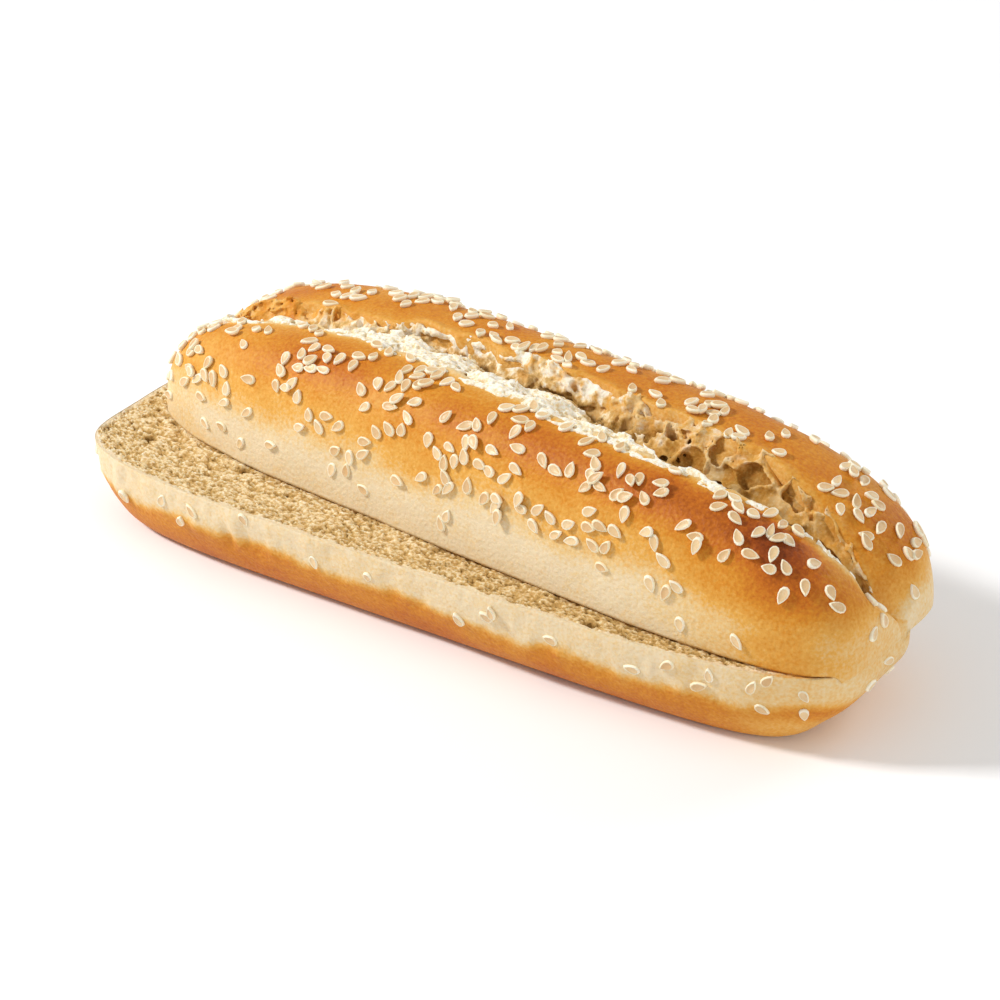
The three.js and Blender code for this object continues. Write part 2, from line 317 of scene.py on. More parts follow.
def crown_grid():
    """The crown's crust and burst bed in its own frame, as rings across it.

    Each ring runs from the front rim over the top to the rear rim, in three stretches that meet at the
    burst's lips. A point lies where a ray from the middle of the ring's base leaves the dome. Between the
    lips it drops to the bed by a depth that rises steeply from both lips. A valley parts the two lobes,
    and slow noise makes the crust uneven."""
    x = stations(CROWN_LENGTH / 2, CROWN_WIDTH / 2, CROWN_STATIONS)[:, None]
    front, rear = lips(x)
    front_lean, rear_lean = lean_at(x, front), lean_at(x, rear)
    share = np.linspace(0, 1, FRONT_COLUMNS, endpoint=False)
    lean_front = mix(-np.pi / 2, front_lean, share)
    inner = np.linspace(0, 1, BURST_COLUMNS, endpoint=False)
    lean_inner = mix(front_lean, rear_lean, inner)
    share = np.linspace(0, 1, REAR_COLUMNS)
    lean_rear = mix(rear_lean, np.pi / 2, share)
    lean = np.concatenate([lean_front, lean_inner, lean_rear], axis=1)
    room = 1.0 - np.abs(x * 2 / CROWN_LENGTH) ** END_BLUNTNESS
    across, upward = np.sin(lean), np.cos(lean)
    factor = reach(
        lambda k: np.abs(k * across) ** SIDE_STRAIGHTNESS + (k * upward) ** CROWN_FULLNESS < room
    )
    y = factor * across * CROWN_WIDTH / 2
    z = factor * upward * CROWN_HEIGHT
    x = x + 0 * y
    depth_share = np.concatenate([0 * lean_front, inner + 0 * lean_inner, 0 * lean_rear], axis=1)
    bed = smoothstep(0, 0.07, depth_share) * smoothstep(1, 0.94, depth_share)
    burst_depth = BED_DEPTH * smoothstep(-80, -66, x) * smoothstep(80, 70, x)
    valley = valley_at(x, y, front, rear)
    base = np.stack([x, y, z], axis=-1)
    points = base.copy()
    points[..., 2] = np.maximum(z - valley - burst_depth * bed, 0.4 * np.minimum(z, 1.0))
    lift = LIP_LIFT * (bump(y, front, 1.3) * (y <= front) + bump(y, rear, 1.3) * (y >= rear))
    lift = lift * (1 + 1.6 * noise(base, 3.2, 24) + 0.9 * noise(base, 1.4, 25))
    points[..., 2] += lift * smoothstep(80, 70, np.abs(x)) * (bed <= 0)
    return points, base, front, rear


def grid_normals(points):
    """Outward unit normals of a grid, from the cross product of its two directions."""
    along = np.gradient(points, axis=0)
    around = np.gradient(points, axis=1)
    normal = np.cross(along, around)
    return normal / np.maximum(np.linalg.norm(normal, axis=-1, keepdims=True), 1e-9)


def crust_relief(points):
    """How far the crust stands proud, in millimetres: slow swells, softer lumps and a fine grain."""
    return 0.45 * noise(points, 24.0, 21) + 0.16 * noise(points, 8.0, 22) + 0.05 * noise(points, 2.6, 23)


def crown_bake(base, front, rear):
    """How brown the crown's crust is, 0 pale to 1 darkest: a band along the top of each lobe, pale flanks,
    warmer ends, browner spots, slow noise, and paler lips. Some of the rear side's paleness is painted sheen
    of the grazing light from behind."""
    x, y = base[..., 0], base[..., 1]
    up = base[..., 2] / CROWN_HEIGHT + 0.05 * noise(base, 12.0, 30)
    # back marks the rear side. Where it lowers the bake below, the paler crust is a painted sheen of the
    # grazing light from behind, over the crust's own bake.
    back = smoothstep(-4, 6, y)
    flank = 0.28 * smoothstep(0.22, 0.58, up) + 0.14 * smoothstep(0.55, 0.85, up)
    ends = 0.18 * smoothstep(40, 76, x) * smoothstep(0.12, 0.5, up) * (1 - 0.75 * back)
    ends = ends + 0.12 * smoothstep(-52, -74, x)
    ends = ends + 0.12 * smoothstep(64, 76, x) * smoothstep(0.14, 0.4, up) * back
    foot = (0.3 - 0.12 * smoothstep(68, 80, x)) * smoothstep(44, 74, x) * smoothstep(0.6, 0.1, up)
    foot = foot * (1 - 0.6 * back)
    spots = sum(browner * bump(x, along, length) * bump(y, across, width)
                for browner, along, length, across, width in BROWN_SPOTS)
    rear_lobe = 0.11 * smoothstep(2, 8, y) - 0.04 * back
    slow = 0.06 * noise(base, 15.0, 31) + 0.05 * noise(base, 6.0, 32)
    lip = (0.3 * bump(y, front - 0.4, 1.6) + 0.1 * bump(y, rear, 1.3)) * smoothstep(80, 76, np.abs(x))
    return np.clip(flank + ends + foot + spots + rear_lobe + slow - lip, 0, 1)


def make_crown(material):
    """The crown as one closed skin: crust, burst bed, cut face below, and the skirt joined to the heel.
    Also gives the crust's points and normals in the crown's frame."""
    points, base, front, rear = crown_grid()
    points += grid_normals(points) * crust_relief(crown_to_table(points))[..., None]
    x, y, z = (base[..., k] for k in range(3))
    points[..., 2] -= SKIRT_DROP * join_share(x, y) * smoothstep(9, 0, z)
    points[..., 0] -= SKIRT_TUCK * smoothstep(0, -5, points[..., 2]) * join_share(x, y)
    share = np.linspace(0, 1, UNDER_COLUMNS + 2)[1:-1][None, :, None]
    under = mix(points[:, -1][:, None], points[:, 0][:, None], share)
    under[..., 2] = mix(under[..., 2], 0.0, 1 - join_share(under[..., 0], under[..., 1]))
    rings = np.concatenate([points, under], axis=1)
    crown = make_object("crown", crown_to_table(with_poles(rings)), tube_faces(*rings.shape[:2]), material)

    station = x[:, :1]
    in_burst = slice(FRONT_COLUMNS + 1, FRONT_COLUMNS + BURST_COLUMNS)
    bake = crown_bake(base, front, rear)
    bake[:, in_burst] += 0.1 * smoothstep(74, 79, station)
    crumb = np.zeros(points.shape[:2])
    crumb[:, in_burst] = smoothstep(79, 74, np.abs(station))
    bake = np.concatenate([bake, np.full(under.shape[:2], 0.25)], axis=1)
    crumb = np.concatenate([crumb, smoothstep(70, 62, under[..., 0])], axis=1)
    give(crown, "bake", np.append(bake, [0.3, 0.3]))
    give(crown, "crumb", np.append(crumb, [0, 0]))
    # The crown's crumb, in its cut face and the burst's bed, takes one middling tan, which stands for the
    # painted shade of its pores and crevices over the crumb's cream.
    give(crown, "shade_and_tone", np.full(crumb.size + 2, 0.5))
    return crown, points, grid_normals(points)


# ---- The torn crumb ----

CRUMB_STEP = 0.38
CRUMB_REACH = 78.5  # either way along the crown
CRUMB_THICKNESS = 5.6
TIP_THICKNESS = 1.2
CRUMB_FLOOR = -9.6
CRUMB_TOP = 2.7

# Values of a sample that is turned into air, into bread, or into just enough bread to close a pinch.
AIR = 0.1
BREAD = -0.1
THIN_BREAD = -0.05


def torn_surface(x, y):
    """The height of the torn crumb, from the crust's surface, before it is roughened: a bank that falls
    from the front lip to the crevice, a steep wall from there to the rear lip, and a raised edge there.
    Also gives how far across from lip to lip each place is, as a share, and how far apart the lips are."""
    front, rear = lips(x)
    across = (y - front) / (rear - front)
    crevice = smooth_line(CREVICE_SHARE, x)
    depth = smooth_line(CREVICE_DEPTH, x)
    steady = smoothstep(-50, -38, x) * smoothstep(30, 14, x)
    bank = np.clip(across / crevice, 0, 1) ** mix(1.3, 3.2, steady)
    wall = smoothstep(1.0, crevice, across) ** 0.8
    top = mix(0.45, 0.3, smoothstep(20, 40, x)) + 0.9 * bump(x, -70, 8)
    top = top + 0.5 * bump(across, 1.0, 0.06) - 1.6 * smoothstep(1.02, 1.12, across)
    return top - depth * np.where(across < crevice, bank, wall), across, rear - front


def torn_field(x, y, h):
    """Negative inside the torn crumb and positive outside, roughly in millimetres, at places in the crown's
    frame whose height h is measured from the crust's surface.

    The crumb is solid below torn_surface, which is read a little to one side or the other, so that its wall
    sways and overhangs. Slow noise tears that surface, and sharp folds and small cells make it flaky. Pits
    open into it behind the crevice, and large round bubbles along the near half. Also gives how deep into
    a fold and into a bubble each place lies."""
    places = np.stack([x, y, h], axis=-1)
    sway = 1.3 * noise(places * [0.6, 1, 1], 2.4, 75) + 0.8 * noise(places, 1.0, 76)
    surface = torn_surface(x, y + sway)[0]
    _, across, width = torn_surface(x, y)
    nearness = smoothstep(16, 34, x) * smoothstep(0.2, 0.4, across)
    fade = smoothstep(-0.16, 0.14, across) * smoothstep(1.14, 0.94, across)
    torn = 1.5 * noise(places, 5.0, 61) + 0.9 * noise(places * [0.6, 1, 1], 2.2, 62)
    ridges = 1.3 * np.abs(noise(places * [0.5, 1, 1], 1.6, 63)) + 0.9 * np.abs(noise(places, 0.9, 64))
    nearest, second, owner = cells(places * [0.7, 1, 1], 1.0, 65)
    foam = smoothstep(0.0, 0.5, second - nearest) * owner
    nearest, second, owner = cells(places * [0.6, 1, 1], 1.9, 78)
    behind = smoothstep(-0.1, 0.06, across - smooth_line(CREVICE_SHARE, x)) * (1 - nearness)
    pits = smoothstep(0.05, 0.4, second - nearest) * owner * behind
    warp = np.stack([noise(places, 3.0, seed) for seed in (66, 67, 68)], axis=-1)
    nearest, second, owner = cells((places + 1.1 * warp) * [0.6, 1, 0.8], 3.6, 69)
    bubble = smoothstep(0.03, 0.22, second - nearest) * smoothstep(0.0, 0.4, across) * (0.5 + 0.5 * owner)
    rough = mix(1.0, 0.35, nearness)
    field = h - surface - fade * torn * mix(1.0, 0.6, nearness)
    field = field + (ridges - 0.5) * rough * (0.4 + 0.6 * fade)
    field = field + 0.8 * foam * rough + 1.5 * pits + 4.0 * bubble * mix(0.16, 1.0, nearness)
    hollow = np.clip(0.55 * ridges + 0.55 * foam + 0.9 * pits, 0, 1)
    edge = np.minimum(across + 0.16, 1.12 - across) * width
    return np.maximum(field, -edge), hollow, bubble


def spread_from(start, allowed):
    """Which of the allowed samples of a block can be reached from the starting ones, growing outward one
    sample at a time."""
    reached = start & allowed
    for _ in range(400):
        grown = reached.copy()
        grown[1:] |= reached[:-1]
        grown[:-1] |= reached[1:]
        grown[:, 1:] |= reached[:, :-1]
        grown[:, :-1] |= reached[:, 1:]
        grown[:, :, 1:] |= reached[:, :, :-1]
        grown[:, :, :-1] |= reached[:, :, 1:]
        grown &= allowed
        if (grown == reached).all():
            break
        reached = grown
    return reached


def close_pinches(field):
    """Fills the air samples of every square of four samples that are bread and air in turn, because there
    the skin would meet itself along an edge."""
    for _ in range(20):
        inside = field < 0
        pinched = np.zeros(field.shape, bool)
        for axis in range(3):
            sheet, mark = np.moveaxis(inside, axis, 2), np.moveaxis(pinched, axis, 2)
            a, b, c, d = sheet[:-1, :-1], sheet[1:, :-1], sheet[1:, 1:], sheet[:-1, 1:]
            in_turn = (a == c) & (b == d) & (a != b)
            mark[:-1, :-1] |= in_turn
            mark[1:, :-1] |= in_turn
            mark[1:, 1:] |= in_turn
            mark[:-1, 1:] |= in_turn
        if not (pinched & ~inside).any():
            break
        field = np.where(pinched & ~inside, THIN_BREAD, field)
    return field


def keep_joined(field, layers):
    """Keeps only the bread that is joined to the bread in the given layers of the block, and fills the air
    that the block's top can't reach."""
    start, top = np.zeros(field.shape, bool), np.zeros(field.shape, bool)
    start[layers] = True
    top[:, :, -1] = True
    field = np.where((field < 0) & ~spread_from(start, field < 0), AIR, field)
    return np.where((field >= 0) & ~spread_from(top, field >= 0), BREAD, field)


def skin(field):
    """The surface where a block of samples changes sign, in steps of the block: one point in each cell that
    the surface crosses, at the mean of the crossings on its edges, and one quad round each crossed edge."""
    inside = field < 0
    corners = list(np.ndindex(2, 2, 2))
    size = np.array(field.shape) - 1
    count = sum(inside[a:a + size[0], b:b + size[1], c:c + size[2]].astype(np.int8) for a, b, c in corners)
    crossed = (count > 0) & (count < 8)
    home = np.argwhere(crossed)
    number = np.full(crossed.shape, -1)
    number[crossed] = np.arange(len(home))
    value = {corner: field[tuple((home + corner).T)] for corner in corners}
    total = np.zeros((len(home), 3))
    crossings = np.zeros((len(home), 1))
    for start in corners:
        for axis in range(3):
            if start[axis]:
                continue
            step = np.eye(3, dtype=int)[axis]
            a, b = value[start], value[tuple(np.add(start, step))]
            cut = ((a < 0) != (b < 0))[:, None]
            share = (a / np.where(a == b, 1, a - b))[:, None]
            total += np.where(cut, np.array(start) + share * step, 0)
            crossings += cut
    points = home + total / crossings
    faces = []
    for axis in range(3):
        one, two = np.eye(3, dtype=int)[(axis + 1) % 3], np.eye(3, dtype=int)[(axis + 2) % 3]
        low = np.moveaxis(inside, axis, 0)
        edges = np.argwhere(np.moveaxis(low[:-1] != low[1:], 0, axis))
        edges = edges[(edges[:, (axis + 1) % 3] > 0) & (edges[:, (axis + 2) % 3] > 0)]
        edges = edges[(edges < size).all(axis=1)]
        quad = np.stack([number[tuple((edges - one - two).T)], number[tuple((edges - two).T)],
                         number[tuple(edges.T)], number[tuple((edges - one).T)]], axis=-1)
        outward = inside[tuple(edges.T)]
        faces.append(np.where(outward[:, None], quad, quad[:, ::-1]))
    return points, np.concatenate(faces)


def torn_block():
    """The block of samples that holds the torn crumb: it runs along the crown, to both sides of the burst's
    middle line, and up and down from the crust's surface. Also gives the place of its first corner."""
    x = np.arange(-CRUMB_REACH, CRUMB_REACH, CRUMB_STEP)
    front, rear = lips(x)
    half = (rear - front).max() / 2 * 1.25 + 1
    offset = np.arange(-half, half, CRUMB_STEP)
    h = np.arange(CRUMB_FLOOR, CRUMB_TOP, CRUMB_STEP)
    grid_x, grid_offset, grid_h = np.meshgrid(x, offset, h, indexing="ij")
    grid_y = grid_offset + ((front + rear) / 2)[:, None, None]
    field = grid_h - torn_surface(grid_x, grid_y)[0]
    underside = -field - mix(TIP_THICKNESS, CRUMB_THICKNESS, smoothstep(79, 66, np.abs(grid_x)))
    near = np.abs(field + 1.2) < 4.4
    field[near] = torn_field(grid_x[near], grid_y[near], grid_h[near])[0]
    lowest = np.s_[:, :, :2]
    field = np.maximum(keep_joined(field, lowest), underside)
    for axis in range(3):
        ends = np.moveaxis(field, axis, 0)
        ends[[0, -1]] = np.maximum(ends[[0, -1]], AIR)
    middle = len(x) // 2
    return keep_joined(close_pinches(field), middle), [x[0], offset[0], h[0]]


def paint_torn_crumb(piece, crust, height):
    """Gives the torn crumb its numbers for colour. It is white, but golden behind the crevice, in the far
    pocket and round the near half's bubbles. Flakes on the rear lip and fibres on the wall stay pale.
    Painted shade darkens it with depth, in its folds and pits, inside the bubbles and on the wall below the
    rear lip."""
    x, y = crust[:, 0], crust[:, 1]
    places = crust + height[:, None] * [0, 0, 1]
    _, across, _ = torn_surface(x, y)
    _, hollow, bubble = torn_field(x, y, height)
    nearness = smoothstep(18, 34, x) * smoothstep(0.2, 0.4, across)
    wall_foot = smooth_line(CREVICE_SHARE, x)
    on_wall = smoothstep(-0.1, 0.15, across - wall_foot)
    behind = smoothstep(mix(wall_foot, 1.0, 0.35), 1.0, across + 0.12 * noise(crust, 3.0, 73))
    pocket = bump(x, -60, 6) * smoothstep(0.3, 0.55, across)
    far_tip = smoothstep(-52, -60, x) * smoothstep(0.15, 0.35, across)
    flakes = smoothstep(0.84, 1.0, across) * smoothstep(-0.1, 0.3, noise(crust * [0.6, 1, 1], 2.6, 74))
    flakes = flakes * smoothstep(-52, -44, x) * mix(1.0, 0.35, smoothstep(22, 36, x))
    fibres = smoothstep(-0.05, 0.4, noise(places * [1, 0.5, 0.5], 0.9, 79)) * on_wall
    fibres = fibres * smoothstep(-58, -46, x) * (1 - 0.8 * nearness)
    golden = (mix(0.85, 0.5, nearness) * behind + 0.95 * pocket + 0.6 * far_tip
              + mix(0.3 * on_wall, 0.55 * (1 - 0.8 * bubble), nearness))
    give(piece, "crumb", 1 - np.clip(golden, 0, 1) * (1 - flakes) * (1 - 0.8 * fibres))
    give(piece, "bake", 0.24 + 0.18 * pocket + 0.16 * noise(crust, 2.4, 71) + 0.12 * bubble * nearness)
    # Painted shade: darker with depth below the crust, in folds and pits, inside the near half's bubbles and
    # on the wall below the rear lip. The patchy noise is the crumb's own tone, and flakes and fibres stay
    # pale.
    depth = smoothstep(0.6, 5.5, -height + 1.2 * noise(crust, 3.0, 72))
    patchy = 0.45 * noise(places, 1.2, 77) * smoothstep(0.5, 0.8, across / wall_foot)
    shade_and_tone = 0.85 * depth + patchy + mix(0.3 * hollow, 0.18 + 0.7 * bubble, nearness)
    shade_and_tone = shade_and_tone + 0.11 * on_wall - 0.4 * flakes - 0.35 * fibres - 0.05
    give(piece, "shade_and_tone", np.clip(shade_and_tone, 0, 1))


def make_torn_crumb(material):
    """The torn crumb as one closed skin of its block, bent to follow the burst and the crust's surface."""
    field, first_corner = torn_block()
    points, faces = skin(field)
    x, offset, height = (points * CRUMB_STEP + first_corner).T
    front, rear = lips(x)
    y = offset + (front + rear) / 2
    dome = crown_height_at(x, y) - valley_at(x, y, front, rear)
    crust = np.stack([x, y, dome], axis=-1)
    crust[:, 2] += crust_relief(crown_to_table(crust))
    places = crown_to_table(crust + height[:, None] * [0, 0, 1])
    torn_crumb = make_object("torn_crumb", places, [faces], material)
    paint_torn_crumb(torn_crumb, crust, height)
    return torn_crumb


# ---- The heel ----

HEEL_STATIONS = 440
WALL_COLUMNS = 76
FACE_COLUMNS = 142
RIM_TUCK = 0.7  # of the heel's rim at the joined end, back inside the crown
RIM_LIFT = 1.6  # of the same rim, up inside the crown


def in_heel(x, y, z):
    """Whether a place is inside the heel's outline at its height: |x/a|^n + |y/b|^m < 1, where a and b widen
    from the base to the cut along a quarter ellipse, and the base is the squarer end."""
    spread = np.sqrt(np.clip(1 - (1 - z / CUT_HEIGHT) ** 2, 0, 1))
    half_length = mix(BASE_LENGTH, HEEL_LENGTH, spread) / 2
    half_width = mix(BASE_WIDTH, HEEL_WIDTH, spread) / 2
    along = np.abs(x / half_length) ** mix(6.5, END_BLUNTNESS, spread)
    across = np.abs(y / half_width) ** mix(7.0, SIDE_STRAIGHTNESS, spread)
    return (z >= 0) & (along + across < 1)


def crumb_relief(points):
    """How deep the pores of cut crumb go below its face, in millimetres, and how far into a pore each point
    lies, 0 to 1. Pores are the cells of three sets of random dots, deepest away from their shared walls."""
    nearest, second, owner = cells(points, 2.0, 41)
    coarse = smoothstep(0.0, 0.35, second - nearest) * smoothstep(0.55, 1.0, owner)
    nearest, second, owner = cells(points, 0.95, 45)
    fine = smoothstep(0.0, 0.35, second - nearest) * (0.2 + 0.8 * owner)
    nearest, second, owner = cells(points, 6.5, 49)
    holes = smoothstep(0.24, 0.12, nearest) * smoothstep(0.68, 0.74, owner)
    depth = 0.4 * coarse + 0.75 * fine + 1.3 * holes + 0.25 * noise(points, 4.0, 53)
    return depth, np.clip(0.3 * coarse + 0.8 * fine + 0.8 * holes, 0, 1)


def meet_crown(points):
    """Pushes the heel's wall at the joined end out to the crown's outline, more so nearer the cut, and
    lifts its rim a little way up inside the crown."""
    place = table_to_crown(points)
    x, y = place[..., 0], place[..., 1]
    room = np.clip(1 - np.abs(y * 2 / CROWN_WIDTH) ** SIDE_STRAIGHTNESS, 0, 1)
    outline = CROWN_LENGTH / 2 * room ** (1 / END_BLUNTNESS)
    short = np.clip(outline - x, 0, 6) * (x > 0.9 * outline)
    moved = points.copy()
    moved[..., 0] += (short - 0.1) * meet_share(x, y) * smoothstep(4, 15, points[..., 2])
    rim = join_share(x, y) * smoothstep(14.5, 17, points[..., 2])
    moved[..., 0] -= RIM_TUCK * rim
    moved[..., 2] += RIM_LIFT * rim
    return moved


def heel_wrinkles(wall):
    """How far the heel's wall stands proud, in millimetres, in wrinkles that run down it: noise stretched
    upward, with a puckered stretch towards the far end."""
    pucker = bump(wall[..., 0], -44, 9) * noise(wall * [1, 1, 0.25], 2.4, 28)
    soft = 0.36 * noise(wall * [1, 1, 0.4], 3.0, 26) + 0.2 * noise(wall * [1, 1, 0.6], 1.5, 27)
    return 1.2 * pucker + soft


def heel_bake(base):
    """How brown the heel's crust is, 0 pale to 1 darkest: brown below a wavering line and pale above it,
    more alike at the near end, and browner at the far end's rear. The brown low part is baked crust and
    partly painted shade of the lower wall."""
    x, y, up = base[..., 0], base[..., 1], base[..., 2] / CUT_HEIGHT
    waver = 0.07 * noise(base, 11.0, 33) + 0.03 * noise(base, 3.0, 35)
    # Darker below the line and towards the bottom: baked brown, and partly painted shade of the lower wall.
    bake = 0.04 + 0.46 * smoothstep(0.66, 0.44, up + waver) + 0.1 * smoothstep(0.42, 0.1, up + waver)
    bake += 0.04 * noise(base, 7.0, 34)
    bake += 0.14 * smoothstep(50, 78, x) * smoothstep(0.3, 0.7, up)
    bake -= 0.26 * smoothstep(50, 76, x) * smoothstep(0.6, 0.2, up)
    bake += 0.4 * smoothstep(-50, -70, x) * smoothstep(2, 12, y) * smoothstep(0.6, 0.9, up)
    return np.clip(bake, 0, 1)


def make_heel(material):
    """The heel as one closed skin. Its wall and base are where rays from the middle of the cut leave the
    outline of in_heel, or meet the table. Its cut face lies across the top, sunk by the pores of the crumb,
    inside a smooth rim of crust, with its columns closer together towards the front, where it is bared.
    Also gives the wall's points and normals."""
    x = stations(HEEL_LENGTH / 2, HEEL_WIDTH / 2, HEEL_STATIONS)[:, None]
    lean = np.linspace(np.pi / 2, -np.pi / 2, WALL_COLUMNS)[None, :]
    across, down = np.sin(lean), np.cos(lean)
    factor = reach(lambda k: in_heel(x, k * across * HEEL_WIDTH / 2, CUT_HEIGHT * (1 - k * down)))
    base = np.stack([x + 0 * factor, factor * across * HEEL_WIDTH / 2,
                     CUT_HEIGHT * (1 - factor * down)], axis=-1)
    wall = meet_crown(base + [*HEEL_CENTRE, 0])
    z = wall[..., 2]
    side = smoothstep(0.5, 5, z)
    upper = smoothstep(6, 10, z) * smoothstep(17, 15, z) * smoothstep(74, 62, base[..., 0])
    wall += grid_normals(wall) * (crust_relief(wall) * side + heel_wrinkles(wall) * upper)[..., None]

    share = np.linspace(0, 1, FACE_COLUMNS + 2)[1:-1][None, :]
    share = mix(share, share ** 2, 0.55)
    face = mix(wall[:, -1][:, None], wall[:, 0][:, None], share[..., None])
    depth, pore = crumb_relief(face * [1, 1, 0])
    half_width = np.abs(base[:, 0, 1])[:, None]
    edge = np.minimum(half_width * (1 - np.abs(2 * share - 1)), HEEL_LENGTH / 2 - np.abs(x))
    crumb = smoothstep(0.3, 1.5, edge + 0.6 * noise(face, 2.2, 29))
    face[..., 2] = CUT_HEIGHT - crumb * (0.1 + depth) - 0.12 * (1 - crumb)
    rings = np.concatenate([wall, face], axis=1)
    heel = make_object("heel", with_poles(rings), tube_faces(*rings.shape[:2]), material)

    along = table_to_crown(face)[..., 0]
    crumb = crumb * smoothstep(72, 64, along)
    # Painted shade: darker deeper in the cut face's pores, and darker towards the near end, where the crown
    # overhangs the face. 0.24 is a base tone of the crumb.
    shade_and_tone = (0.24 + 0.76 * pore + 0.1 * smoothstep(-40, 50, x)) * crumb
    bake = heel_bake(base)
    face_bake = 0.25 * smoothstep(64, 72, along)
    give(heel, "bake", np.append(np.concatenate([bake, face_bake], axis=1), [0, 0]))
    give(heel, "crumb", np.append(np.concatenate([0 * bake, crumb], axis=1), [0, 0]))
    give(heel, "shade_and_tone", np.append(np.concatenate([0 * bake, shade_and_tone], axis=1), [0, 0]))
    return heel, wall, grid_normals(wall)


# ---- Sesame seeds ----

SEED_LENGTH = 3.15
SEED_WIDTH = 2.0
SEED_THICKNESS = 0.7
SEED_FILL = 1.12  # brings the teardrop's widest place up to the seed's width
SEED_AROUND = 12
SEED_RINGS = [(0.66, 0.46, 0.0), (0.84, 0.58, 1.0), (1.00, 0.16, 1.0), (0.74, -0.46, 0.6)]
SEED_POLES = [[-0.25, 0, 0.50], [-0.2, 0, -0.52]]
POLE_PALENESS = [0.0, 0.6]
CROWN_SEEDS = 480
CROWN_SPACING = 2.4
HEEL_SEEDS = 56
HEEL_SPACING = 2.6
STACKED_SHARE = 0.25  # of the seeds that fall partly on a neighbour, those that stay there


def seed_shape():
    """One seed's points, faces and paleness. Its outline is a teardrop, x = cos t and
    y = sin t * sin(t / 2)^0.7, and each of its rings is (share of the outline, height, paleness)."""
    turn = np.arange(SEED_AROUND) / SEED_AROUND * 2 * np.pi
    outline = np.stack([np.cos(turn) * SEED_LENGTH / 2,
                        np.sin(turn) * np.sin(turn / 2) ** 0.7 * SEED_WIDTH / 2 * SEED_FILL], axis=-1)
    points = [np.column_stack([outline * share, np.full(SEED_AROUND, height)])
              for share, height, _ in SEED_RINGS]
    rim = [np.full(SEED_AROUND, pale) for _, _, pale in SEED_RINGS]
    faces = tube_faces(len(SEED_RINGS), SEED_AROUND)
    return np.concatenate(points + [SEED_POLES]), faces, np.concatenate(rim + [POLE_PALENESS])


def scatter(points, normal, density, count, spacing, draw):
    """Picks spots on a grid of points in proportion to cell area times density, no two closer than spacing
    but for the few that lie on top of a neighbour. Returns each spot's place, the crust's normal there and
    how much a seed there is lifted by the one below it."""
    across = points[1:, 1:] - points[:-1, :-1]
    other = points[1:, :-1] - points[:-1, 1:]
    area = 0.5 * np.linalg.norm(np.cross(across, other), axis=-1)
    weight = (area * np.clip(density[:-1, :-1], 0, None)).ravel()
    picks = draw.choice(weight.size, size=4 * count, p=weight / weight.sum(), replace=False)
    row, column = np.unravel_index(picks, area.shape)
    places, normals = points[row, column], normal[row, column]
    kept, raised = [], []
    for number, place in enumerate(places):
        gap = np.linalg.norm(places[kept] - place, axis=1).min() if kept else spacing
        if gap > spacing or (gap > 0.55 * spacing and draw.random() < STACKED_SHARE):
            kept.append(number)
            raised.append(0.7 * SEED_THICKNESS if gap < 0.85 * spacing else 0.0)
        if len(kept) == count:
            break
    return places[kept], normals[kept], np.array(raised)


def crown_seed_spots(crust, normal, draw):
    """Spots for seeds on the crown, their normals and their seeds' lifts: in clumps over both lobes, few
    down the flanks, none in the burst, and more at the near end's front."""
    burst = np.zeros(crust.shape[:2])
    burst[:, FRONT_COLUMNS - 2:FRONT_COLUMNS + BURST_COLUMNS + 2] = 1
    x, y, z = (crust[..., k] for k in range(3))
    height_share = 0.14 * smoothstep(2, 5, z) + smoothstep(8.5, 16, z)
    clumps = 0.12 + smoothstep(-0.2, 0.45, noise(crust, 7.0, 51))
    near_front = 1 + 0.6 * smoothstep(48, 70, x) * (y < 0)
    density = (1 - burst) * height_share * clumps * near_front
    spots, normals, lift = scatter(crust, normal, density, CROWN_SEEDS, CROWN_SPACING, draw)
    lift += draw.uniform(0.08, 0.36, len(spots)) - 0.3 * smoothstep(12, 5, spots[:, 2])
    cosine, sine = np.cos(SWIVEL), np.sin(SWIVEL)
    turn = np.array([[cosine, -sine, 0], [sine, cosine, 0], [0, 0, 1]])
    return crown_to_table(spots), normals @ turn.T, lift


def heel_seed_spots(wall, normal, draw):
    """Spots for the few seeds on the heel's pale upper wall, their normals and their seeds' lifts, most of
    which are below 0, where the crust has risen round the seed."""
    z = wall[..., 2]
    clumps = 0.2 + smoothstep(-0.2, 0.5, noise(wall, 9.0, 54))
    density = smoothstep(7, 10, z) * smoothstep(16.5, 15, z) * clumps
    spots, normals, lift = scatter(wall, normal, density, HEEL_SEEDS, HEEL_SPACING, draw)
    return spots, normals, lift + draw.uniform(-0.3, 0.1, len(spots))


